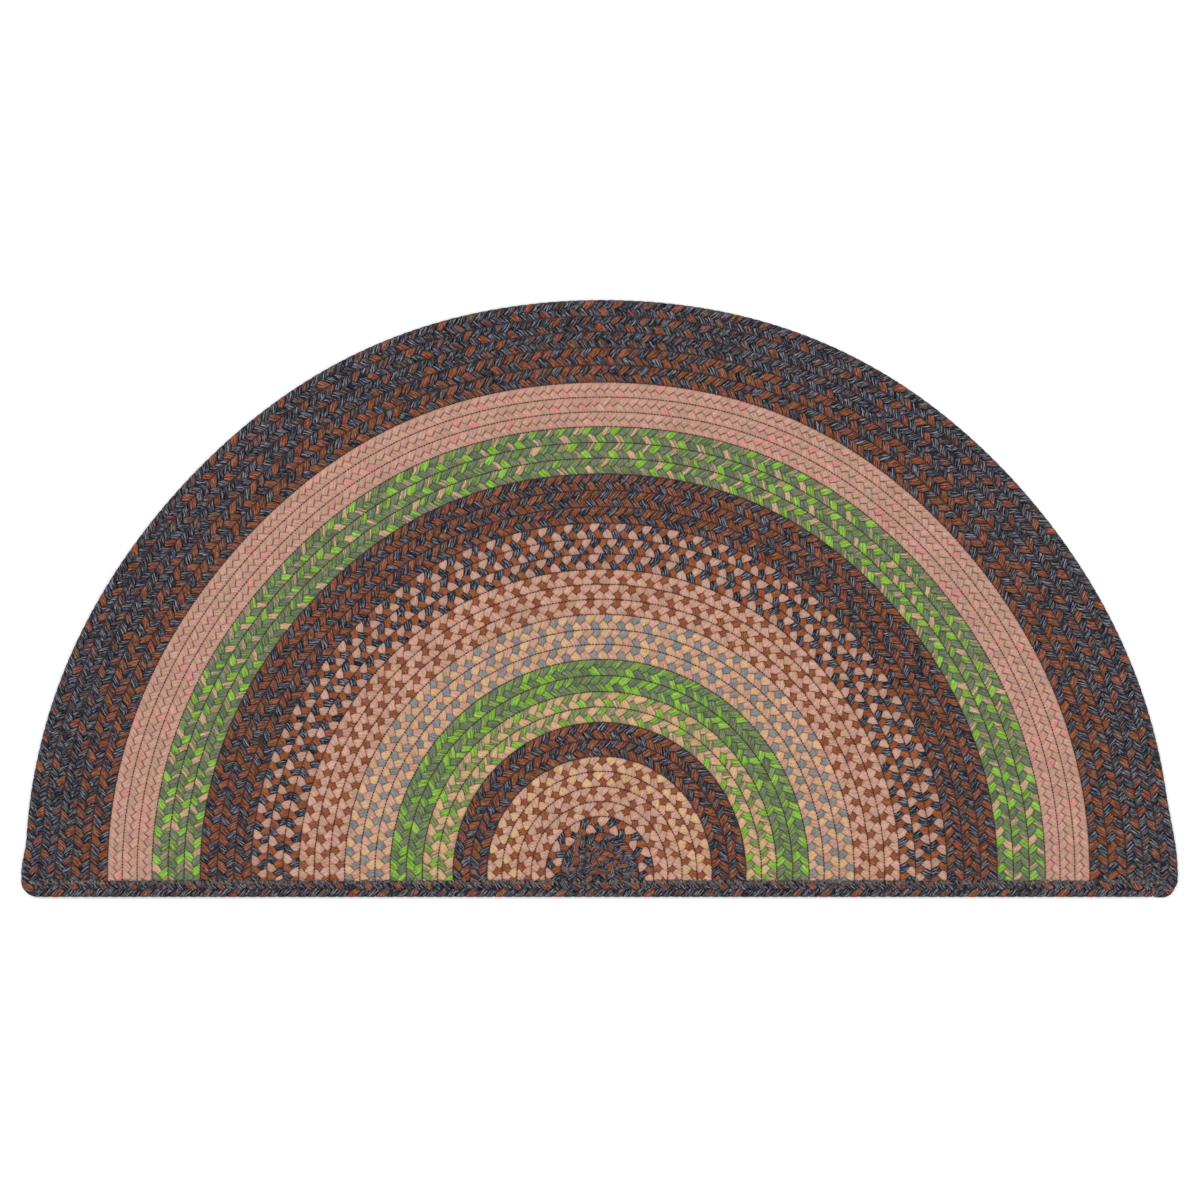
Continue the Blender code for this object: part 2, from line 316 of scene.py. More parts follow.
# Relief of fibres and flecks beside that of the plies, then its strength and depth
FIBRE_RELIEF = 0.5
FLECK_RELIEF = 0.6
YARN_BUMP = (0.6, 0.0005)
YARN_SHADER = {"Roughness": 0.95, "Specular IOR Level": 0.05, "Sheen Weight": 0.02, "Sheen Roughness": 0.6}

# Lacing thread: its stitches, how they stray in spacings, in radians and in shares of their length
STITCH_SPACING = 0.0031
STITCH_LENGTH = 0.0022
STITCH_RADIUS = 0.00105
STITCH_UP = 0.82
STITCH_SCATTER = 0.1
STITCH_TURN = 0.16
STITCH_LENGTHS = (0.8, 1.2)
HEADING_STEP = 0.001
# A stitch's points lie ahead, behind, left, right, above and below
STITCH_FACES = ((0, 2, 4), (2, 1, 4), (1, 3, 4), (3, 0, 4), (2, 0, 5), (1, 2, 5), (3, 1, 5), (0, 3, 5))
THREAD_DARK = (42, 15, 12)
THREAD_LIGHT = (92, 42, 33)
THREAD_GRAIN = (2600.0, 2.0)
THREAD_FLECKS = (0.3, 0.7, 0.0, 1.0)
THREAD_BUMP = (0.5, 0.0002)

# Loose yarn: a tube's width at its ends, its taper, dive and lowest point, and its place on a strand
TUBE_END = 0.3
TUBE_TAPER = 0.4
TUBE_DIVE = 1.4
TUBE_LOWEST = 0.0005
TUBE_ACROSS = (0.5, 0.48)
TUBE_ALONG = (0.08, 0.84)
TUBE_CAP = (0.5, 0.3)
# Yarn ends over the cut line: mean and scatter of place across it and of heading, ranges of
# length, radius and level, share of rust, and the mesh's stations and sides
ENDS_COUNT = 760
ENDS_FROM_SIDE = 0.014
ENDS_ACROSS_CUT = (-0.0003, 0.001)
ENDS_HEADING = (math.radians(122), math.radians(24))
ENDS_LENGTH = (0.0036, 0.0066)
ENDS_RADIUS = (0.001, 0.0018)
ENDS_LEVEL = (0.0082, 0.0092)
ENDS_RUST = 0.1
ENDS_BEND = 0.0005
ENDS_FLATNESS = 0.7
ENDS_MESH = (4, 5)
# Loose strands in the middle and at the right-hand corner, and the kind that stands out
Tangle = namedtuple("Tangle", "count rust_share lengths widths bend")
HEART_TANGLE = Tangle(30, 0.28, (0.009, 0.014), (0.0056, 0.0084), 0.001)
CORNER_TANGLE = Tangle(18, 0.22, (0.006, 0.01), (0.004, 0.0058), 0.0006)
TANGLE_YARNS = ("slate", "core_rust", "worn_rust")
TANGLE_LEVEL = (0.0082, 0.0088)
TANGLE_HALF_HEIGHT = (0.001, 0.0014)
TANGLE_MESH = (7, 8)
STANDING_OUT = 2.0
STANDING_OUT_UP = 0.0004
# The middle: reach, least share of its area, free angle at either foot, drop, scatter of heading
HEART_REACH = 0.04
HEART_LEAST = 0.02
HEART_FREE = 0.05
HEART_DROP = 0.004
HEART_HEADING = 0.7
# The corner: how far in from the right, up from the tip, and mean and scatter of heading
CORNER_IN = (0.01, 0.036)
CORNER_UP = (0.006, 0.026)
CORNER_HEADING = (math.radians(118), math.radians(32))
# The rust strands that stand out in the middle: place right of and above the rings' centre, heading
# in degrees, length, width and bend
HEART_RUST = (
    (-0.001, -0.0005, 4, 0.026, 0.0056, 0.0024),
    (0.025, 0.0055, 8, 0.016, 0.0044, 0.0026),
    (-0.0225, 0.0125, 22, 0.014, 0.005, 0.0018),
    (-0.0125, 0.0195, 80, 0.007, 0.0062, 0.0),
    (-0.022, 0.032, 60, 0.011, 0.007, 0.0008),
    (0.0055, 0.0385, 8, 0.013, 0.005, 0.001),
    (0.012, 0.029, 130, 0.01, 0.0056, 0.0),
    (0.02, 0.018, 25, 0.01, 0.0048, 0.0),
    (0.016, 0.0105, 70, 0.009, 0.0044, 0.0),
    (0.031, 0.024, 150, 0.01, 0.005, 0.0),
    (-0.005, 0.013, 150, 0.008, 0.0036, 0.0),
    (0.002, 0.026, 40, 0.007, 0.0036, 0.0),
)

# Floor, light and camera. The photograph looks straight down: 1200 pixels square, 1.0544 mm to a
# pixel
FLOOR_REACH = 6.0
FLOOR_COLOUR = (0.96, 0.96, 0.96)
FLOOR_GRAIN = 3.0
FLOOR_TONES = (0.3, 0.7, 0.99, 1.0)
WORLD_LIGHT = 0.68
LAMPS = (
    ("key", (-1.3, 1.5, 3.0), 2.0, 52.0),
    ("fill", (1.8, -1.3, 3.0), 2.4, 38.0),
)
PHOTO_PIXELS = 1200
PIXEL_SIZE = 0.0010544
LENS = 85.0
SENSOR = 36.0
CAMERA_PLACE = (0.0005, -0.001)

# A strip's cross-section, loose tubes of yarn, and a point of the yarn
Ring = namedtuple("Ring", "side place level dip bow round_strand")
Tubes = namedtuple("Tubes", "first last bends half_widths half_heights levels kinds seeds")
Spot = namedtuple("Spot", "across along seed lobe ply_place ply from_middle flecks fibres")


def smooth_step(low, high, value):
    """From 0 at low to 1 at high, level at both ends."""
    share = np.clip((value - low) / (high - low), 0.0, 1.0)
    return share * share * (3.0 - 2.0 * share)


def ring_points(radius, turns):
    """Points on the line between two rows, each turn radians round from the right-hand base."""
    outer_share = smooth_step(INNER_WAVES_UP_TO, OUTER_WAVES_FROM, radius)
    inner_share = (1.0 - outer_share) * smooth_step(0.0, INNER_WAVES_FULL_AT, radius)
    reach = radius + inner_share * wave_sum(INNER_WAVES, turns)
    reach = reach + outer_share * wave_sum(OUTER_WAVES, turns)
    x = reach * np.cos(turns)
    y = reach * np.sin(turns)
    spread_share = max(radius - SPREAD_FROM_RADIUS, 0.0) / (MEAN_RADIUS - SPREAD_FROM_RADIUS)
    right = RIGHT_SPREAD * smooth_step(RIGHT_SPREAD_FROM, 0.0, y)
    left = LEFT_SPREAD * smooth_step(LEFT_SPREAD_FROM, 0.0, y)
    x = x + spread_share * np.where(x > 0.0, right, -left)
    return np.stack([x, y + CENTRE_Y], axis=-1)


def row_line(radius, turns):
    """The line between two rows from its right foot over the crown to its left foot."""
    arc = ring_points(radius, turns)
    return np.concatenate([[(arc[0, 0], CUT_Y)], arc, [(arc[-1, 0], CUT_Y)]])


def arc_turns(radius):
    """Even turns from base to base, as many as the arc's length asks for."""
    return np.linspace(0.0, math.pi, max(LEAST_ARC_POINTS, int(radius * math.pi / LINE_STEP)))


def row_sides(inner_radius, outer_radius):
    """The inner and the outer line of a row, and how high it stands along them."""
    turns = arc_turns(outer_radius)
    inner = row_line(inner_radius, turns)
    return inner, row_line(outer_radius, turns), np.ones(len(inner))


def rim_sides(inner_radius, outer_radius):
    """As row_sides, for the outermost braid, which ends against its own start."""
    turns = arc_turns(outer_radius)
    inner_arc = row_line(inner_radius, turns)[:-1]
    outer_arc = row_line(outer_radius, turns)[:-1]
    places = np.linspace(0.0, 1.0, RIM_START_POINTS, endpoint=False)
    start_places, inner_inwards, outer_inwards, start_height = np.array(RIM_START).T
    start_y = TIP_Y + places * (CUT_Y - TIP_Y)
    inner_x = inner_arc[0, 0] - np.interp(places, start_places, inner_inwards)
    outer_x = outer_arc[0, 0] - np.interp(places, start_places, outer_inwards)
    start_inner = np.stack([inner_x, start_y], axis=1)
    start_outer = np.stack([outer_x, start_y], axis=1)

    turn_centre = np.array([inner_arc[-1, 0] + CORNER_INNER_RADIUS, CUT_Y + CORNER_INNER_RADIUS])
    turn_reach = turn_centre - np.array([outer_arc[-1, 0], STRAIGHT_EDGE_Y])
    corner = np.linspace(0.0, math.pi / 2, CORNER_POINTS)
    quarter = np.stack([np.cos(corner), np.sin(corner)], axis=1)
    corner_inner = turn_centre - CORNER_INNER_RADIUS * quarter
    corner_outer = turn_centre - turn_reach * quarter

    end_x = inner_arc[0, 0] - GAP
    level_x = end_x - END_SLANT_SPREAD * START_CURL
    edge_inner = np.array([(level_x, CUT_Y), (end_x, CUT_Y)])
    edge_outer = np.array([(level_x, STRAIGHT_EDGE_Y), (end_x - START_CURL, STRAIGHT_EDGE_Y)])

    inner = np.concatenate([start_inner, inner_arc, corner_inner, edge_inner])
    outer = np.concatenate([start_outer, outer_arc, corner_outer, edge_outer])
    height = np.ones(len(inner))
    height[: len(places)] = np.interp(places, start_places, start_height)
    return inner, outer, height


def heart_sides(radius):
    """As row_sides, for the folded start in the middle: it runs up from the cut line."""
    turns = np.linspace(0.0, HEART_TURN, HEART_POINTS)
    half = np.concatenate([[radius], radius * np.cos(turns)])
    ys = np.concatenate([[CUT_Y], CENTRE_Y + radius * np.sin(turns)])
    left = np.stack([-half, ys], axis=1)
    right = np.stack([half, ys], axis=1)
    return left, right, np.ones(len(ys))


def measure(line):
    """How far along a line each of its points lies."""
    steps = np.hypot(*np.diff(line, axis=0).T)
    return np.concatenate([[0.0], np.cumsum(steps)])


def follow(line, lengths, places):
    """Points on a line at the given lengths along it."""
    return np.stack([np.interp(places, lengths, line[:, axis]) for axis in (0, 1)], axis=-1)


def list_ring(rim):
    """The strip's cross-section, once round: side, place from seam to edge, height, dip, push, and
    the length round the strand from the top seam, 0, past the edge, 1, to the seam underneath, 2."""
    top, under = (RIM_TOP_PROFILE, RIM_UNDER_PROFILE) if rim else (TOP_PROFILE, UNDER_PROFILE)
    outer_side = ((1.0, 1.0, top), (1.0, -1.0, under))
    inner_side = ((-1.0, -1.0, UNDER_PROFILE[-2::-1]), (-1.0, 1.0, TOP_PROFILE[:0:-1]))
    points = []
    for side, face, profile in outer_side + inner_side:
        for place, height, dip, push in profile:
            round_strand = place if face > 0 else 2.0 - place
            points.append((side, place, height, face * dip, push, round_strand))
    ring = Ring(*np.array(points).T)
    if rim:
        # The open side has no neighbour and no groove beside it, so its place round the strand stays short
        # of where the groove's painted shade begins
        open_side = (ring.side > 0) & (ring.place > RIM_TOP_PROFILE[-2][0])
        reach = OPEN_SIDE_REACH - OPEN_SIDE_LESS * ring.level
        ring = ring._replace(round_strand=np.where(open_side, reach, ring.round_strand))
    return ring


def lay_stations(length, band, random):
    """Where along the row each station lies, and how many stations the braid has turned by then."""
    scatter = CORE_SCATTER if band.name == BANDS[-1].name else LOBE_SCATTER
    half = STATIONS // 2
    count = int(math.ceil((length + band.slant) / band.pitch * STATIONS))
    count += -count % half
    start = int(random.integers(0, 3 * STATIONS))
    knots = np.arange(count // half + 1) * band.pitch / 2
    knots += random.normal(0.0, scatter * band.pitch, len(knots))
    stations = np.interp(np.arange(count + 1), np.arange(len(knots)) * half, knots) - band.slant
    stations[0] = min(stations[0], -band.slant)
    stations[-1] = max(stations[-1], length)
    return stations, np.arange(count + 1) + start


def find_lobes(turns, inner_column):
    """The lobe that each turn falls in, its strand, 0 to 2, and the place across it, 0 to 1. The
    inner column is half a lobe and one strand ahead of the outer one."""
    shifted = turns + np.where(inner_column, STATIONS // 2, 0)
    lobe = shifted // STATIONS
    return lobe, (lobe + inner_column) % 3, (shifted % STATIONS) / STATIONS


def bulge(phase):
    """How round a lobe is from one gap, 0, to the next, 1."""
    return np.sqrt(np.clip(1.0 - (2.0 * phase - 1.0) ** 2, 0.0, 1.0))


def lean_of(full, strand, phase):
    """How hard the fuller of two neighbours pushes the gap between them on along the row."""
    behind = full[(strand - 1) % 3] - full[strand]
    ahead = full[strand] - full[(strand + 1) % 3]
    return behind * (1.0 - phase) + ahead * phase


def place_in_row(width, band, ring, stations, turns, rim, random):
    """How far each point lies from the row's middle, and how far along it. The seam swings from lobe
    to lobe, and a full strand bulges over its neighbours, at its tip and at its sides."""
    full = np.array(band.fullness)
    _, strand, phase = find_lobes(turns[:, None], ring.side < 0)
    _, outer_strand, outer_phase = find_lobes(turns, False)
    _, inner_strand, inner_phase = find_lobes(turns, True)
    swings = 4.0 * np.abs(outer_phase - 0.5) - 1.0
    tip_full = np.where(swings > 0, full[inner_strand], -full[outer_strand])
    zigzag = band.swing * (swings + TIP_PUFF * (1.0 - np.abs(swings)) * tip_full)
    wander = WANDER * np.sin(stations / WANDER_LENGTH + random.uniform(*WANDER_START))
    seam = (zigzag + wander)[:, None]
    across = seam + (ring.side * width / 2 - seam) * ring.place
    if rim:
        edge = (ring.place == 1.0) & (ring.side > 0)
        across[:, edge] += RIM_BULGE - SCALLOP * (1.0 - bulge(phase[:, edge]))

    lean = lean_of(full, strand, phase)
    # On the seam the column that has its gap there leads
    at_outer_gap = np.abs(2.0 * outer_phase - 1.0)
    outer_lean = lean_of(full, outer_strand, outer_phase)
    inner_lean = lean_of(full, inner_strand, inner_phase)
    lean[:, 0] = outer_lean * at_outer_gap + inner_lean * (1.0 - at_outer_gap)
    along = stations[:, None] + band.slant * (1.0 - ring.place) + PUFF * lean * ring.bow
    return across, along


def place_flat(sides, width, lengths, across, along):
    """Where each point lies, seen from above."""
    inner, outer, _ = sides
    middle = (inner + outer) / 2
    on_line = np.clip(along, 0.0, lengths[-1])
    inside = follow(inner, lengths, on_line)
    outside = follow(outer, lengths, on_line)
    flat = inside + (outside - inside) * (0.5 + across / width)[..., None]
    # Past either end a point goes on straight, so no two points fall together
    ends = ((-along, middle[0] - middle[1]), (along - lengths[-1], middle[-1] - middle[-2]))
    for past, outwards in ends:
        reach = SQUEEZE * np.clip(past, 0.0, None)
        flat += reach[..., None] * outwards / np.linalg.norm(outwards)
    return flat


def place_up(band, ring, turns, thick, random):
    """How high each point stands: domed over a lobe, low in the gaps and on thin strands."""
    inner_column = ring.side < 0
    lobe, strand, phase = find_lobes(turns[:, None], inner_column)
    round_lobe = bulge(phase)
    crest = np.abs(random.normal(0.0, CREST_SCATTER, (2, lobe.max() + 2)))
    thin = SINK * np.clip(-np.array(band.fullness), 0.0, None)
    low = crest[inner_column.astype(int), lobe] + thin[strand]
    z = ring.level * thick - ring.dip * (DIP * (1.0 - round_lobe) + low * round_lobe)
    return np.clip(z, 0.0, None)


def make_strip(name, sides, band, yarns, random, rim=False):
    """One row of braid: a closed strip with lobes on both faces, one material to each yarn."""
    inner, outer, lift = sides
    lengths = measure((inner + outer) / 2)
    length = lengths[-1]
    width = float(np.median(np.hypot(*(outer - inner).T)))
    ring = list_ring(rim)
    stations, turns = lay_stations(length, band, random)
    across, along = place_in_row(width, band, ring, stations, turns, rim, random)
    flat = place_flat(sides, width, lengths, across, along)
    # Near a cut end the strip is a quarter round
    from_end = np.minimum(along, length - along)
    rounded = np.sqrt(1.0 - (1.0 - np.clip(from_end / END_ROUNDING, 0.0, 1.0)) ** 2)
    thick = THICKNESS * np.interp(along, lengths, lift) * (END_HEIGHT + (1.0 - END_HEIGHT) * rounded)
    z = place_up(band, ring, turns, thick, random)
    points = np.concatenate([flat, z[..., None]], axis=2).reshape(-1, 3)

    kinds = sorted(set(band.strands))
    faces = tube_faces(len(stations), len(ring.side))
    piece = make_piece(name, points, faces, [yarns[kind] for kind in kinds])
    dress_strip(piece.data, band, kinds, ring, turns, random)
    # How near each point lies to a cut end, where the yarn's painted shade darkens the dipping row
    near_cut = np.exp(-np.clip(from_end, 0.0, None) / CUT_SHADE_REACH).reshape(-1)
    near_cut_values = piece.data.attributes.new("near_cut", "FLOAT", "POINT").data
    near_cut_values.foreach_set("value", near_cut.astype(np.float32))
    piece.data.set_sharp_from_angle(angle=SHARP_FROM)
    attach(piece, "root")
    return piece, width, length


def dress_strip(mesh, band, kinds, ring, turns, random):
    """Each face's yarn, number and place on its strand. The two end faces come last."""
    # The seam underneath parts the two columns there
    inner_face = np.arange(len(ring.side)) >= int(np.sum(ring.side > 0)) - 1
    lobe, strand, phase = find_lobes(turns[:-1, None], inner_face)
    slots = np.array([kinds.index(yarn) for yarn in band.strands])
    seeds = random.uniform(*SEED_RANGE, (2, lobe.max() + 1))
    face_seeds = seeds[inner_face.astype(int), lobe] + inner_face
    near = ring.round_strand
    far = np.roll(near, -1)
    after = phase + 1.0 / STATIONS
    uvs = corner_uvs((phase, near), (phase, far), (after, far), (after, near))
    cap_uvs = np.stack([0.5 + 0.4 * ring.side * ring.place, 0.4 + 0.4 * ring.level], axis=1)
    dress_faces(
        mesh,
        np.concatenate([slots[strand].reshape(-1), [slots[0], slots[0]]]),
        np.concatenate([uvs, cap_uvs[::-1], cap_uvs]),
        np.concatenate([face_seeds.reshape(-1), [CAP_SEED, CAP_SEED]]),
    )


def tube_faces(rings, around):
    """The four-cornered faces between rings of points, and the two faces that close the ends."""
    ring = np.arange(rings - 1)[:, None] * around
    here = np.arange(around)
    after = (here + 1) % around
    quads = np.stack([ring + here, ring + after, ring + around + after, ring + around + here], axis=-1)
    caps = np.stack([here[::-1], (rings - 1) * around + here])
    return quads, caps


def corner_uvs(*corners):
    """The faces' corners, face after face, from the places of their first, second and later ones."""
    pairs = [np.stack(np.broadcast_arrays(u, v), axis=-1) for u, v in corners]
    return np.stack(pairs, axis=2).reshape(-1, 2)


def make_piece(name, points, face_groups, materials):
    """A mesh object from its points and groups of faces that have equally many corners."""
    corners = np.concatenate([faces.reshape(-1) for faces in face_groups])
    sizes = [np.full(faces.size // faces.shape[-1], faces.shape[-1]) for faces in face_groups]
    sizes = np.concatenate(sizes)
    mesh = bpy.data.meshes.new(name)
    mesh.vertices.add(len(points))
    mesh.vertices.foreach_set("co", points.astype(np.float32).reshape(-1))
    mesh.loops.add(len(corners))
    mesh.loops.foreach_set("vertex_index", corners.astype(np.int32))
    mesh.polygons.add(len(sizes))
    mesh.polygons.foreach_set("loop_start", (np.cumsum(sizes) - sizes).astype(np.int32))
    mesh.update(calc_edges=True)
    mesh.shade_smooth()
    for material in materials:
        mesh.materials.append(material)
    return add_object(name, mesh)


def add_object(name, data):
    """A new object in the scene."""
    thing = bpy.data.objects.new(name, data)
    bpy.context.scene.collection.objects.link(thing)
    return thing


def dress_faces(mesh, slots, uvs, seeds):
    """Each face's material, where its corners lie on their strand, and its lobe's own number: 0 to
    1 in the outer column and 1 to 2 in the inner one."""
    mesh.polygons.foreach_set("material_index", slots.astype(np.int32))
    mesh.uv_layers.new(name="strand").uv.foreach_set("vector", uvs.astype(np.float32).reshape(-1))
    seed_values = mesh.attributes.new("lobe_seed", "FLOAT", "FACE").data
    seed_values.foreach_set("value", seeds.astype(np.float32))


def linear(colour):
    """A colour as it shows under this light, 0 to 255, in the renderer's own linear scale."""
    values = np.array(colour) / 255.0
    curved = ((values + 0.055) / 1.055) ** 2.4
    return tuple(np.where(values <= 0.04045, values / 12.92, curved) / BRIGHTNESS) + (1.0,)


class Nodes:
    """Short ways to lay out a material's nodes."""

    def __init__(self, name):
        self.material = bpy.data.materials.new(name)
        self.material.use_nodes = True
        self.tree = self.material.node_tree
        self.shader = self.tree.nodes["Principled BSDF"]

    def put(self, sockets, values):
        """Sets or links sockets, each under its name or number."""
        for socket, value in values.items():
            if isinstance(value, bpy.types.NodeSocket):
                self.tree.links.new(value, sockets[socket])
            else:
                sockets[socket].default_value = value

    def shade(self, values):
        self.put(self.shader.inputs, values)

    def add(self, kind, values=(), output=0, **settings):
        """A new node's output. Its inputs' values go by name or number, or are a tuple in order."""
        node = self.tree.nodes.new(kind)
        for setting, value in settings.items():
            setattr(node, setting, value)
        self.put(node.inputs, values if isinstance(values, dict) else dict(enumerate(values)))
        return node.outputs[output]

    def bump(self, height, strength, distance):
        values = {"Height": height, "Strength": strength, "Distance": distance}
        self.shade({"Normal": self.add("ShaderNodeBump", values)})

    def math(self, operation, *values):
        return self.add("ShaderNodeMath", values, operation=operation)

    def product(self, *values):
        total = values[0]
        for value in values[1:]:
            total = self.math("MULTIPLY", total, value)
        return total

    def span(self, *values, smooth=True):
        """A value from low to high becomes to_low to to_high, and stays there outside."""
        shape = "SMOOTHSTEP" if smooth else "LINEAR"
        return self.add("ShaderNodeMapRange", values, interpolation_type=shape)

    def place(self, x, y, z=0.0):
        return self.add("ShaderNodeCombineXYZ", (x, y, z))

    def scaled(self, x, y, scale, z):
        """A place to read a noise at, with x and y taken as many times as scale says."""
        return self.place(self.product(x, scale[0]), self.product(y, scale[1]), z)

    def noise(self, vector, scale=1.0, detail=1.0, output=0):
        values = {"Vector": vector, "Scale": scale, "Detail": detail}
        return self.add("ShaderNodeTexNoise", values, output)

    def vector(self, operation, *values):
        return self.add("ShaderNodeVectorMath", values, operation=operation)

    def tints(self, vector, amount):
        """A factor for each of red, green and blue that strays from 1 by its own noise."""
        noise = self.noise(vector, output="Color")
        return self.vector("MULTIPLY_ADD", noise, (amount,) * 3, (1.0 - amount / 2,) * 3)

    def times(self, colour, value):
        return self.add("ShaderNodeVectorMath", {0: colour, "Scale": value}, operation="SCALE")

    def chance(self, x, y):
        """A number from 0 to 1 that is the same wherever x and y are."""
        values = {"Vector": self.place(x, y)}
        return self.add("ShaderNodeTexWhiteNoise", values, "Value", noise_dimensions="3D")

    def blend(self, first, second, share):
        """Two colours mixed. The node's colour sockets are its seventh and eighth inputs."""
        return self.add("ShaderNodeMix", {0: share, 6: first, 7: second}, 2, data_type="RGBA")

    def attribute(self, name):
        return self.add("ShaderNodeAttribute", output="Fac", attribute_name=name)


def find_spot(nodes, look):
    """Where a point of the yarn lies: in its lobe, on its ply, and in the flecks and fibres."""
    strand = nodes.add("ShaderNodeUVMap", uv_map="strand")
    across, along = (nodes.add("ShaderNodeSeparateXYZ", (strand,), axis) for axis in (0, 1))
    seed = nodes.attribute("lobe_seed")
    lobe = nodes.product(seed, LOBE_APART)

    wave = nodes.noise(nodes.place(nodes.product(along, PLY_WAVES), lobe))
    leaning = nodes.math("MULTIPLY_ADD", along, PLY_LEAN, across)
    wavy = nodes.math("MULTIPLY_ADD", nodes.math("SUBTRACT", wave, 0.5), PLY_WAVE, leaning)
    ply_place = nodes.math("MULTIPLY_ADD", wavy, float(look.plies), nodes.math("FLOOR", lobe))
    ply = nodes.math("FLOOR", ply_place)
    doubled = nodes.math("MULTIPLY_ADD", nodes.math("FRACT", ply_place), 2.0, -1.0)
    from_middle = nodes.math("ABSOLUTE", doubled)
    flecks = nodes.noise(nodes.scaled(ply_place, along, FLECK_SCALE, lobe))
    fibres = nodes.noise(nodes.scaled(wavy, along, FIBRE_SCALE, lobe), detail=FIBRE_DETAIL)
    return Spot(across, along, seed, lobe, ply_place, ply, from_middle, flecks, fibres)


def colour_plies(nodes, look, spot):
    """A lobe draws its place in the yarn's row of colours, and its plies stray from there."""
    stray = nodes.math("MULTIPLY_ADD", nodes.chance(spot.ply, spot.lobe), PLY_STRAY, -PLY_STRAY / 2)
    drawn = nodes.math("ADD", nodes.chance(spot.lobe, COLOUR_CHANCE), stray)
    colour = nodes.add("ShaderNodeValToRGB", (drawn,))
    ramp = colour.node.color_ramp
    ramp.interpolation = "CONSTANT"
    reached = 0.0
    for index, (share, shown) in enumerate(look.colours):
        # The ramp starts with two stops of its own
        stop = ramp.elements[index] if index < 2 else ramp.elements.new(reached)
        stop.position = reached
        stop.color = linear(shown)
        reached += share
    return colour


def streak_plies(nodes, look, spot, colour):
    """Light fibres on a ply's crest and dark ones beside it, strong on some stretches only: partly the
    yarn's own fibres, partly a painted highlight on the crest and painted shade between the plies.
    """
    light_run = nodes.noise(nodes.scaled(spot.ply, spot.along, RUN_SCALE, spot.lobe))
    dark_run = nodes.noise(nodes.scaled(spot.ply, spot.along, RUN_SCALE, DARK_NOISE))
    crest = nodes.span(spot.from_middle, *CREST_ENDS, 1.0, 0.0)
    side = nodes.span(spot.from_middle, *SIDE_BEGINS, 0.0, look.darks)
    light_share = nodes.product(crest, nodes.span(light_run, *LIGHT_RUNS, 0.0, look.lights))
    dark_share = nodes.product(side, nodes.span(dark_run, *DARK_RUNS))
    colour = nodes.blend(colour, linear(look.light), light_share)
    return nodes.blend(colour, linear(look.gap), dark_share)


def mottle_yarn(nodes, look, spot, colour):
    """Light and dark flecks about a millimetre long, finer fibres, and a mottled hue."""
    most = FLECK_SHARE * look.mottle
    light_share = nodes.span(spot.flecks, *LIGHT_FLECKS, 0.0, most, smooth=False)
    dark_share = nodes.span(spot.flecks, *DARK_FLECKS, 0.0, most, smooth=False)
    colour = nodes.blend(colour, linear(look.light), light_share)
    colour = nodes.blend(colour, linear(look.gap), dark_share)
    shade = nodes.product(
        nodes.span(spot.fibres, *FIBRE_TONES, smooth=False),
        nodes.span(nodes.chance(spot.lobe, TONE_CHANCE), *LOBE_TONES, smooth=False),
    )
    hue_place = nodes.scaled(spot.ply_place, spot.along, HUE_SCALE, HUE_NOISE)
    tints = nodes.tints(hue_place, HUE_STRAY * look.mottle)
    return nodes.vector("MULTIPLY", nodes.times(colour, shade), tints)


def painted_gap_shade(nodes, look, spot):
    """Painted shade: 1 on a lobe and less in the gaps, where shade falls: beside it, under its tip, where
    one flank is deeper, at the row's edge and towards a cut end, where the row dips."""
    near_cut = nodes.attribute("near_cut")
    inner_column = nodes.math("GREATER_THAN", spot.seed, 1.0)
    beside = nodes.math("MINIMUM", spot.across, nodes.math("SUBTRACT", 1.0, spot.across))
    seam = nodes.math("PINGPONG", spot.along, 1.0)
    near_edge = nodes.math("SUBTRACT", 1.0, seam)
    mirrored = nodes.math("ABSOLUTE", nodes.math("SUBTRACT", inner_column, spot.across))
    flank = nodes.span(mirrored, *DEEP_FLANK, look.tip, (1.0 + look.tip) / 2)
    # Painted shade towards a cut end, with a ragged rim
    ragged = nodes.math("MULTIPLY_ADD", nodes.math("SUBTRACT", spot.flecks, 0.5), RAGGED, near_cut)
    return nodes.product(
        nodes.span(beside, *BESIDE_GAP, look.beside, 1.0),
        nodes.span(seam, *TIP_GAP, flank, 1.0),
        nodes.span(near_edge, *EDGE_GAP, look.edge, 1.0),
        nodes.span(ragged, *CUT_END_SHADE),
    )


def make_yarn(name, look):
    """Soft yarn in a braid: plies along each lobe, flecks, fibres, and painted shade in the gaps round the
    lobe.
    """
    nodes = Nodes("yarn_" + name)
    spot = find_spot(nodes, look)
    colour = colour_plies(nodes, look, spot)
    colour = streak_plies(nodes, look, spot, colour)
    colour = mottle_yarn(nodes, look, spot, colour)
    # Painted shade: the colour darkens to the gap colour round each lobe
    nodes.shade({"Base Color": nodes.blend(linear(look.gap), colour, painted_gap_shade(nodes, look, spot))})
    nodes.shade(YARN_SHADER)
    ply_round = nodes.math("SUBTRACT", 1.0, nodes.math("POWER", spot.from_middle, PLY_ROUNDNESS))
    relief = nodes.math("MULTIPLY_ADD", spot.fibres, FIBRE_RELIEF, ply_round)
    nodes.bump(nodes.math("MULTIPLY_ADD", spot.flecks, FLECK_RELIEF, relief), *YARN_BUMP)
    return nodes.material


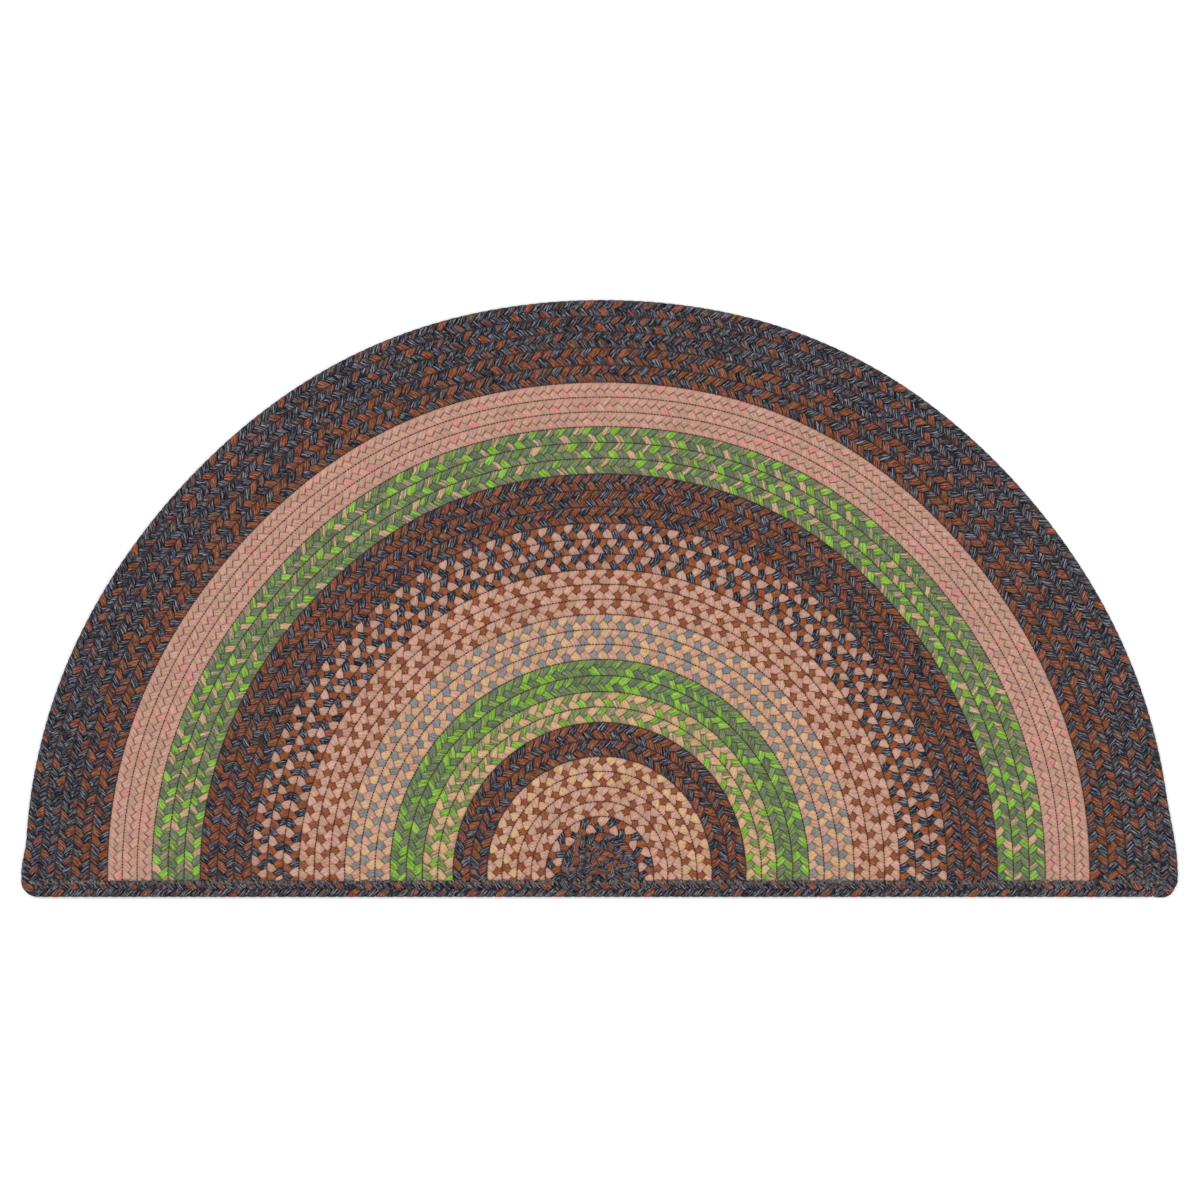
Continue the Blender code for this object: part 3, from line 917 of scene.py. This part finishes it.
def make_thread():
    """Twisted sewing thread."""
    nodes = Nodes("thread_dark")
    fleck = nodes.noise(nodes.add("ShaderNodeTexCoord", output="Object"), *THREAD_GRAIN)
    colour = nodes.add("ShaderNodeValToRGB", (nodes.span(fleck, *THREAD_FLECKS),))
    for stop, shown in zip(colour.node.color_ramp.elements, (THREAD_DARK, THREAD_LIGHT)):
        stop.color = linear(shown)
    nodes.shade({"Base Color": colour, "Roughness": 0.85})
    nodes.bump(fleck, *THREAD_BUMP)
    return nodes.material


def make_stitches(lines, random):
    """Short stitches along lines, each a spindle with six points."""
    centres, headings = [], []
    for line in lines:
        lengths = measure(line)
        places = np.arange(STITCH_SPACING / 2, lengths[-1], STITCH_SPACING)
        places = places + random.normal(0.0, STITCH_SCATTER * STITCH_SPACING, len(places))
        here = follow(line, lengths, places)
        ahead = follow(line, lengths, places + HEADING_STEP) - follow(line, lengths, places - HEADING_STEP)
        heights = np.full((len(here), 1), STITCH_UP * THICKNESS)
        centres.append(np.concatenate([here, heights], axis=1))
        turn = random.normal(0.0, STITCH_TURN, len(here))
        headings.append(np.arctan2(ahead[:, 1], ahead[:, 0]) + turn)
    centres = np.concatenate(centres)
    heading = np.concatenate(headings)
    zero = np.zeros(len(heading))
    long = STITCH_LENGTH / 2 * random.uniform(*STITCH_LENGTHS, len(heading))
    forward = np.stack([np.cos(heading), np.sin(heading), zero], axis=1) * long[:, None]
    sideways = np.stack([-np.sin(heading), np.cos(heading), zero], axis=1) * STITCH_RADIUS
    up = np.full((len(heading), 3), (0.0, 0.0, STITCH_RADIUS))
    six = np.stack([forward, -forward, sideways, -sideways, up, -up], axis=1)
    points = (centres[:, None, :] + six).reshape(-1, 3)
    faces = np.arange(len(centres))[:, None, None] * six.shape[1] + np.array(STITCH_FACES)
    piece = make_piece("lacing_top", points, [faces], [make_thread()])
    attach(piece, "root")


def make_tubes(name, tubes, materials, stations, sides):
    """Loose lengths of yarn: bowed, tapering tubes that start and end in the braid's surface."""
    count = len(tubes.first)
    places = np.linspace(0.0, 1.0, stations)
    arch = np.sin(math.pi * places)
    heading = tubes.last - tubes.first
    sideways = np.stack([-heading[:, 1], heading[:, 0]], axis=1)
    sideways /= np.linalg.norm(sideways, axis=1)[:, None]
    path = tubes.first[:, None] + heading[:, None] * places[:, None]
    path = path + sideways[:, None] * (tubes.bends[:, None] * arch)[..., None]
    taper = (TUBE_END + (1.0 - TUBE_END) * arch ** TUBE_TAPER)[:, None]
    angles = np.arange(sides) / sides * 2 * math.pi
    spread = tubes.half_widths[:, None, None] * taper * np.cos(angles)
    rise = tubes.half_heights[:, None, None] * taper * np.sin(angles)
    dive = tubes.half_heights[:, None] * (1.0 + TUBE_DIVE * (1.0 - arch))
    middle_z = tubes.levels[:, None] - dive
    flat = path[:, :, None] + sideways[:, None, None] * spread[..., None]
    z = np.clip(middle_z[..., None] + rise, TUBE_LOWEST, None)
    points = np.concatenate([flat, z[..., None]], axis=3).reshape(-1, 3)

    quads, caps = tube_faces(stations, sides)
    first_points = np.arange(count)[:, None, None] * stations * sides
    faces = (first_points[..., None] + quads, first_points + caps)
    piece = make_piece(name, points, faces, materials)

    # The top of a tube runs once across a lobe, so its plies show as in the braid, and the painted
    # gap shade darkens its sides and ends
    near = TUBE_ACROSS[0] - TUBE_ACROSS[1] * np.cos(angles)
    far = np.roll(near, -1)
    along = (TUBE_ALONG[0] + TUBE_ALONG[1] * places)[:, None]
    here, after = along[:-1], along[1:]
    uvs = corner_uvs((near, here), (far, here), (far, after), (near, after))
    uvs = np.concatenate([np.tile(uvs, (count, 1)), np.tile([TUBE_CAP], (2 * count * sides, 1))])
    counts = ((stations - 1) * sides, 2)
    slots = np.concatenate([np.repeat(tubes.kinds, each) for each in counts])
    seeds = np.concatenate([np.repeat(tubes.seeds, each) for each in counts])
    dress_faces(piece.data, slots, uvs, seeds)
    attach(piece, "root")


def tube_ends(x, y, headings, lengths):
    """Where straight tubes with these middles start and end."""
    middles = np.stack([x, y], axis=1)
    ahead = np.stack([np.cos(headings), np.sin(headings)], axis=1) * lengths[:, None] / 2
    return middles - ahead, middles + ahead


def make_yarn_ends(yarns, random):
    """Short yarn ends and strands over the line where the rows are cut."""
    count = ENDS_COUNT
    reach = RUG_WIDTH / 2 - ENDS_FROM_SIDE
    x = random.uniform(-reach, reach, count)
    y = CUT_Y + random.normal(*ENDS_ACROSS_CUT, count)
    headings = random.normal(*ENDS_HEADING, count)
    first, last = tube_ends(x, y, headings, random.uniform(*ENDS_LENGTH, count))
    radii = random.uniform(*ENDS_RADIUS, count)
    levels = random.uniform(*ENDS_LEVEL, count)
    kinds = (random.uniform(0, 1, count) < ENDS_RUST).astype(int)
    bends = random.normal(0.0, ENDS_BEND, count)
    seeds = random.uniform(*SEED_RANGE, count)
    tubes = Tubes(first, last, bends, radii, radii * ENDS_FLATNESS, levels, kinds, seeds)
    make_tubes("yarn_ends", tubes, [yarns["fuzz"], yarns["dull_rust"]], *ENDS_MESH)


def make_tangle(name, yarns, strands, random):
    """Loose strands that lie over one another. A strand: x, y, heading, length, width, bend and kind."""
    x, y, headings, lengths, widths, bends, kinds = np.array(strands).T
    first, last = tube_ends(x, y, headings, lengths)
    count = len(x)
    levels = random.uniform(*TANGLE_LEVEL, count) + np.where(kinds == STANDING_OUT, STANDING_OUT_UP, 0.0)
    half_heights = random.uniform(*TANGLE_HALF_HEIGHT, count)
    seeds = random.uniform(*SEED_RANGE, count)
    tubes = Tubes(first, last, bends, widths / 2, half_heights, levels, kinds.astype(int), seeds)
    make_tubes(name, tubes, [yarns[yarn] for yarn in TANGLE_YARNS], *TANGLE_MESH)


def draw_strand(x, y, heading, tangle, random):
    """A strand of a tangle at the given place, plain, 0, or rust, 1."""
    kind = float(random.uniform() < tangle.rust_share)
    length = random.uniform(*tangle.lengths)
    width = random.uniform(*tangle.widths)
    return x, y, heading, length, width, random.normal(0.0, tangle.bend), kind


def make_heart_tangle(yarns, random):
    """Strands that wind round the middle, and the rust ones that stand out there."""
    strands = []
    for _ in range(HEART_TANGLE.count):
        turn = random.uniform(HEART_FREE, math.pi - HEART_FREE)
        reach = HEART_REACH * math.sqrt(random.uniform(HEART_LEAST, 1.0))
        x = reach * math.cos(turn)
        y = reach * math.sin(turn) + CENTRE_Y - HEART_DROP
        heading = turn + math.pi / 2 + random.normal(0.0, HEART_HEADING)
        strands.append(draw_strand(x, y, heading, HEART_TANGLE, random))
    for x, y, degrees, length, width, bend in HEART_RUST:
        strands.append((x, y + CENTRE_Y, math.radians(degrees), length, width, bend, STANDING_OUT))
    make_tangle("heart_tangle", yarns, strands, random)


def make_corner_tangle(yarns, random):
    """Small strands where the edge braid ends against the start of the rim."""
    corner_x = ring_points(MEAN_RADIUS, 0.0)[0]
    strands = []
    for _ in range(CORNER_TANGLE.count):
        x = corner_x - random.uniform(*CORNER_IN)
        y = TIP_Y + random.uniform(*CORNER_UP)
        heading = random.normal(*CORNER_HEADING)
        strands.append(draw_strand(x, y, heading, CORNER_TANGLE, random))
    make_tangle("corner_tangle", yarns, strands, random)


def list_rows():
    """Each row's band and its inner and outer radius, from the arc inwards."""
    rows = []
    outer = MEAN_RADIUS
    for band in BANDS:
        for _ in range(band.rows):
            rows.append((band, outer - band.width, outer))
            outer -= band.width
    return rows


def make_rug():
    """The heart, the rows from the arc inwards, the lacing between them and the loose yarn."""
    yarns = {name: make_yarn(name, look) for name, look in YARNS.items()}
    rows = list_rows()
    sides = heart_sides(rows[-1][1])
    heart, _, _ = make_strip("braid_37_heart_yarn", sides, HEART_BAND, yarns, np.random.default_rng(37))
    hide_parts("braid_37_heart")
    lines = []
    for number, (band, inner_radius, outer_radius) in enumerate(rows, start=1):
        rim = number == 1
        if rim:
            node = "braid_01_rim"
            sides = rim_sides(inner_radius, outer_radius)
            lines.append(row_line(inner_radius, arc_turns(inner_radius)))
        else:
            node = f"braid_{number:02d}_{band.name}"
            sides = row_sides(inner_radius, outer_radius)
            lines.append(sides[0])
        random = np.random.default_rng(number)
        piece, width, length = make_strip(node + "_yarn", sides, band, yarns, random, rim)
        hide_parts(node)

    make_stitches(lines, np.random.default_rng(40))
    make_yarn_ends(yarns, np.random.default_rng(41))
    make_heart_tangle(yarns, np.random.default_rng(42))
    make_corner_tangle(yarns, np.random.default_rng(43))


def make_floor():
    """A plain pale floor, wide enough to fill the picture from any side."""
    nodes = Nodes("pale_floor")
    grain = nodes.noise(nodes.add("ShaderNodeTexCoord", output="Object"), FLOOR_GRAIN)
    pale = nodes.times(FLOOR_COLOUR, nodes.span(grain, *FLOOR_TONES))
    nodes.shade({"Base Color": pale, "Roughness": 0.9, "Specular IOR Level": 0.1})
    corners = FLOOR_REACH * np.array([(-1, -1, 0), (1, -1, 0), (1, 1, 0), (-1, 1, 0)])
    floor = make_piece("floor", corners, [np.array([(0, 1, 2, 3)])], [nodes.material])
    return floor


def make_studio():
    """White surroundings, two soft lamps that look at the rug's middle, and the camera above it."""
    scene = bpy.context.scene
    world = bpy.data.worlds.new("studio")
    world.use_nodes = True
    background = world.node_tree.nodes["Background"]
    background.inputs["Color"].default_value = (1.0, 1.0, 1.0, 1.0)
    background.inputs["Strength"].default_value = WORLD_LIGHT * BRIGHTNESS
    scene.world = world
    for name, place, size, power in LAMPS:
        lamp = bpy.data.lights.new(name, "AREA")
        lamp.shape = "SQUARE"
        lamp.size = size
        lamp.energy = power * BRIGHTNESS
        holder = add_object(name, lamp)
        holder.location = place
        holder.rotation_mode = "QUATERNION"
        holder.rotation_quaternion = (-holder.location).to_track_quat("-Z", "Y")
    scene.view_settings.view_transform = "Standard"

    camera_data = bpy.data.cameras.new("camera")
    camera_data.lens = LENS
    camera_data.sensor_width = SENSOR
    distance = LENS / SENSOR * PHOTO_PIXELS * PIXEL_SIZE
    camera = add_object("camera", camera_data)
    camera.location = (*CAMERA_PLACE, THICKNESS + distance)
    scene.camera = camera


floor = make_floor()
make_rug()
make_studio()
